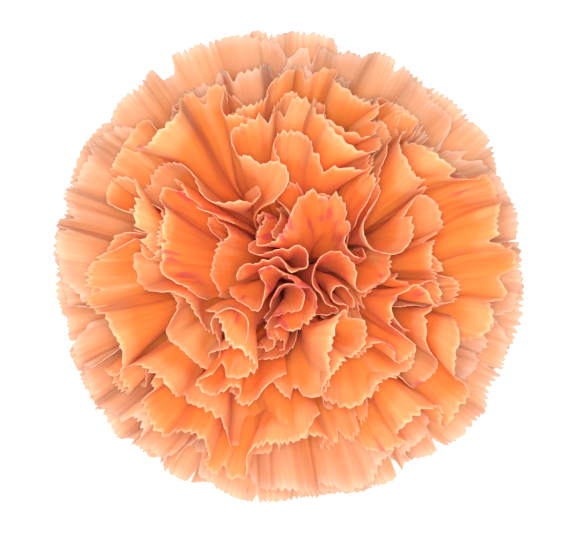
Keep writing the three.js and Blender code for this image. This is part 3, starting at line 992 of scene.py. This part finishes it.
def make_stem(material):
    """The stalk, from its cut end, which is pale with a sunken pith, up to the receptacle."""
    rings = []
    for radius in (POINT_RADIUS, 0.9, 1.0, STEM_RADIUS * 0.8, STEM_RADIUS * 0.95):
        sunk = CUT_PITH_DEPTH if radius <= 0.9 else 0.05
        rings.append([radius, sunk - STEM_LENGTH, 1 - radius / STEM_RADIUS * 0.4])
    for height in np.linspace(0.1 - STEM_LENGTH, 0, 120):
        from_joint = (height + JOINT_DROP) / (JOINT_LENGTH / 2)
        swelling = max(math.cos(math.pi / 2 * from_joint), 0) ** 1.5 if abs(from_joint) < 1 else 0
        flare = max(1 + height / STEM_FLARE_LENGTH, 0) ** 2
        radius = mix(STEM_RADIUS, JOINT_RADIUS, swelling) + (STEM_TOP_RADIUS - STEM_RADIUS) * flare
        rings.append([radius, height, 0])
    rings.append([STEM_TOP_RADIUS + 0.1, SEAT_GAP - 0.02, 0])
    rings.append([POINT_RADIUS, SEAT_GAP - 0.02, 0])
    radii, heights, ends = np.array(rings).T[..., None]
    angle = np.arange(STEM_SIDES) / STEM_SIDES * 2 * np.pi
    radius = radii * (1 + STEM_RIDGE_DEPTH * np.cos(STEM_RIDGES * angle))
    points = stacked(radius * np.cos(angle), radius * np.sin(angle), heights)
    place = stacked(heights / 20, np.abs(angle / np.pi - 1) * 3, ends)
    finish_piece(solid_tube("stem_stalk", points, place), "stem", material)


def bezier(points, share):
    a, b, c, d = points
    rest = 1 - share
    return rest**3 * a + 3 * rest**2 * share * b + 3 * rest * share**2 * c + share**3 * d


def make_leaf(name, side, material):
    """A narrow leaf that clasps half of the joint, arches out and rests its tip on the floor."""
    tip_height = LEAF_REACH - JOINT_DROP
    surface = -STEM_RADIUS - (STEM_LENGTH + tip_height) * math.tan(TILT)
    tip = np.array([side * LEAF_SPREAD, surface + LEAF_TIP_LIFT, tip_height])
    root = np.array([side * (JOINT_RADIUS + LEAF_ROOT_GAP), 0, -JOINT_DROP])
    arch = np.array([0, LEAF_ARCH, 0])
    line = [root, mix(root, tip, 1 / 3) + arch, mix(root, tip, 2 / 3) + arch, tip]
    along = np.linspace(0, 1, 60)
    centre = np.array([bezier(line, share) for share in along])
    forwards = np.gradient(centre, axis=0)
    forwards /= np.linalg.norm(forwards, axis=1, keepdims=True)
    tip_facing = np.array([0, math.cos(TILT), math.sin(TILT)])
    facing = mix(np.array([-side, 0, 0])[None], tip_facing[None], smooth(along, 0, 0.5)[:, None])
    widthways = np.cross(forwards, facing)
    widthways /= np.linalg.norm(widthways, axis=1, keepdims=True)
    upwards = np.cross(widthways, forwards)

    across = np.linspace(-1, 1, 21)
    taper = np.sqrt(np.maximum(1 - along, 0))
    half_width = np.maximum(LEAF_WIDTH * np.minimum(LEAF_TAPER * taper, 1), LEAF_TIP_WIDTH) / 2
    channel = LEAF_KEEL * taper[:, None] * np.abs(across)[None, :] ** 1.6
    wave = LEAF_WAVE * np.sin(9 * along + 1.3 * side)[:, None] * across[None, :] * taper[:, None]
    middle = centre[:, None] + widthways[:, None] * (half_width[:, None] * across)[..., None]
    middle = middle + upwards[:, None] * (channel + wave)[..., None]

    clasp = 1 - smooth(along, 0, LEAF_CLASP_SHARE)
    angle = (0 if side > 0 else math.pi) + across * math.radians(LEAF_CLASP_ANGLE) * side
    foot_radius = JOINT_RADIUS + LEAF_FOOT_GAP
    foot_height = 22 * along[:, None] - JOINT_DROP - 1.5
    foot = stacked(foot_radius * np.cos(angle), foot_radius * np.sin(angle), foot_height)
    middle = mix(middle, foot, clasp[:, None, None])

    edge = smooth(np.abs(across), 0.86, 1)
    midrib = 0.55 * (1 - smooth(np.abs(across), 0.02, 0.1))
    place = stacked(along[:, None] * 3, across, np.maximum(edge * 0.7, midrib))
    body = np.sqrt(np.maximum(1 - np.abs(across) ** 3, 0))[None, :]
    thickness = mix(LEAF_EDGE, LEAF_THICKNESS, body) * np.maximum(taper, 0.35)[:, None]
    finish_piece(solid_sheet(f"{name}_blade", middle, thickness, place), name, material)


# ---- Heart of the flower ----

TURNED_SIDES = 40
GROOVES = 4
STYLE_SIDES = 12
STYLE_TIP_RADIUS = 0.16


def make_turned(name, node, profile, groove_depth, material):
    """A closed solid of revolution from [radius, height] pairs, with shallow grooves along it."""
    radii, heights = np.array(profile, dtype=float).T[..., None]
    angle = np.arange(TURNED_SIDES) / TURNED_SIDES * 2 * np.pi
    radius = radii * (1 - groove_depth * (0.5 + 0.5 * np.cos(GROOVES * angle)))
    points = stacked(radius * np.cos(angle), radius * np.sin(angle), heights)
    place = stacked(heights / 10, angle, 0)
    finish_piece(solid_tube(name, points, place), node, material)


def make_receptacle(material):
    top_radius = calyx_radius(RECEPTACLE_TOP - CALYX_LIFT) - CALYX_WALL / 2 - SEAT_GAP
    low = RECEPTACLE_TOP - RECEPTACLE_HEIGHT
    shares = np.linspace(0, 1, 9)
    side = [[mix(STEM_TOP_RADIUS, top_radius, s**0.8), low + RECEPTACLE_HEIGHT * s] for s in shares]
    crown = [[top_radius * 0.6, RECEPTACLE_TOP], [POINT_RADIUS, RECEPTACLE_TOP]]
    profile = [[POINT_RADIUS, low]] + side + crown
    make_turned("receptacle_cup", "receptacle", profile, 0.03, material)


def make_ovary(material):
    low = RECEPTACLE_TOP + SEAT_GAP
    profile = []
    for turn in np.linspace(0.01, math.pi - 0.01, 24):
        height = low + OVARY_LENGTH * (1 - math.cos(turn)) / 2
        profile.append([OVARY_RADIUS * math.sin(turn) ** 0.8, height])
    make_turned("ovary_capsule", "ovary", profile, 0.1, material)


def make_style(side, node, material):
    """A thin thread that leans away from its twin and narrows to its tip."""
    low = RECEPTACLE_TOP + OVARY_LENGTH + 2 * SEAT_GAP
    share = np.linspace(0, 1, 40)[:, None]
    lean = STYLE_RADIUS + SEAT_GAP / 2 + STYLE_SPREAD * share**2
    radius = mix(STYLE_RADIUS, STYLE_TIP_RADIUS, share**1.5)
    radius[[0, -1]] = 0.01
    angle = np.arange(STYLE_SIDES) / STYLE_SIDES * 2 * np.pi
    x = side * lean + radius * np.cos(angle)
    y = side * STYLE_SWAY * np.sin(np.pi * share) + radius * np.sin(angle)
    points = stacked(x, y, low + STYLE_LENGTH * share)
    place = stacked(share * 3, angle, 0)
    finish_piece(solid_tube(f"{node}_thread", points, place), node, material)


# ---- Build ----


def build_petals():
    # The deep throat colours are partly painted shade of the bloom's depths, and the inner set is a
    # little lighter to brighten the shaded centre.
    outer = petal_material(
        "petal_outer_skin", deep="F07E42", middle="EEAC6C", light="ECC29A", rim="EED6C0",
        fade=12.0, band=1.6, flecks=0.02,
    )
    middle = petal_material(
        "petal_middle_skin", deep="FA6A2A", middle="F4A24C", light="F2BC7E", rim="F6D6AE",
        fade=6.0, band=0.7, flecks=0.12,
    )
    inner = petal_material(
        "petal_inner_skin", deep="FC6220", middle="F89C48", light="F6B872", rim="F8DAB2",
        fade=4.0, band=0.6, flecks=0.2,
    )
    skins = {"petal_outer": outer, "petal_middle": middle, "petal_inner": inner}
    petals = list_petals()
    blades = grow(petals, PETAL_STEPS)
    for petal, blade in zip(petals, blades):
        make_petal(petal, blade, skins[SLOTS[petal["node"]]])


def build_greens():
    calyx = green_material("calyx_skin", "7E9C62", "9DB981", "C9D6A6", ribs=9.0)
    stem = green_material("stem_skin", "64875C", "7C9E74", "B4C8A6", ribs=5.0)
    leaf = green_material("leaf_skin", "5F8268", "76987A", "B7CBB4", ribs=14.0)
    heart = green_material("heart_skin", "B4BE84", "CBD4A0", "E6EACB", ribs=2.0)
    style = green_material("style_skin", "EFE0C6", "F6ECDA", "FFF8EE", ribs=2.0)
    make_calyx(calyx)
    for pair in range(len(BRACT_LENGTHS)):
        for i in range(2):
            make_bract(2 * pair + i + 1, pair, math.radians(90 * pair + 180 * i), calyx)
    make_stem(stem)
    make_leaf("leaf_left", -1, leaf)
    make_leaf("leaf_right", 1, leaf)
    make_receptacle(heart)
    make_ovary(heart)
    make_style(-1, "style_left", style)
    make_style(1, "style_right", style)


# ---- Stage ----

# The studio's walls and ceiling: brighter near the floor than overhead.
HORIZON_LIGHT = 0.88
TOP_LIGHT = 0.45
HORIZON_END = 0.1
TOP_START = 0.7
FLOOR_HALF_WIDTH = 3.0
FLOOR_GLOW = 0.8
EXPOSURE = -0.3
VIEW_DISTANCE = 0.45
VIEW_WIDTH = 0.096
SENSOR_WIDTH = 36


def aim(thing, target):
    thing.rotation_euler = (Vector(target) - thing.location).to_track_quat("-Z", "Y").to_euler()


def add_area(name, place, target, size, power):
    light = bpy.data.lights.new(name, "AREA")
    light.energy = power
    light.size = size
    lamp = bpy.data.objects.new(name, light)
    lamp.location = place
    bpy.context.scene.collection.objects.link(lamp)
    aim(lamp, target)


def build_world():
    world = bpy.data.worlds.new("studio")
    bpy.context.scene.world = world
    world.use_nodes = True
    nodes, links = world.node_tree.nodes, world.node_tree.links
    place = nodes.new("ShaderNodeTexCoord")
    height = nodes.new("ShaderNodeSeparateXYZ")
    fall = nodes.new("ShaderNodeMapRange")
    values = (HORIZON_END, TOP_START, HORIZON_LIGHT, TOP_LIGHT)
    for socket, value in zip(fall.inputs[1:5], values):
        socket.default_value = value
    backdrop = nodes["Background"]
    backdrop.inputs["Color"].default_value = (1, 1, 1, 1)
    links.new(place.outputs["Generated"], height.inputs[0])
    links.new(height.outputs["Z"], fall.inputs["Value"])
    links.new(fall.outputs[0], backdrop.inputs["Strength"])


def build_floor():
    mesh = bpy.data.meshes.new("floor")
    half = FLOOR_HALF_WIDTH
    corners = [(-half, -half, 0), (half, -half, 0), (half, half, 0), (-half, half, 0)]
    mesh.from_pydata(corners, [], [(0, 1, 2, 3)])
    floor = bpy.data.objects.new("floor", mesh)
    bpy.context.scene.collection.objects.link(floor)
    shader = Shader("floor_white")
    shader.finish((0.9, 0.9, 0.9, 1), 0.9)
    shader.surface.inputs["Emission Color"].default_value = (1, 1, 1, 1)
    shader.surface.inputs["Emission Strength"].default_value = FLOOR_GLOW
    mesh.materials.append(shader.material)


def build_lights():
    centre = to_world([0, 0, CLAW_TOP + 12])
    add_area("key", centre + np.array([-0.22, -0.35, 0.42]), centre, size=0.35, power=1.5)
    add_area("front", centre + FACE * 0.7, centre, size=0.22, power=7.0)
    bpy.context.scene.view_settings.view_transform = "Standard"
    bpy.context.scene.view_settings.exposure = EXPOSURE


def build_camera():
    """Looks straight at the face, which sits a little above the middle of the picture."""
    aim_point = to_world([0.3, -1.2, CLAW_TOP + 10])
    camera_data = bpy.data.cameras.new("camera")
    camera_data.sensor_width = SENSOR_WIDTH
    camera_data.lens = SENSOR_WIDTH * VIEW_DISTANCE / VIEW_WIDTH
    camera = bpy.data.objects.new("camera", camera_data)
    camera.location = aim_point + FACE * VIEW_DISTANCE
    bpy.context.scene.collection.objects.link(camera)
    aim(camera, aim_point)
    bpy.context.scene.camera = camera


build_camera()
build_petals()
build_greens()
build_world()
build_floor()
build_lights()
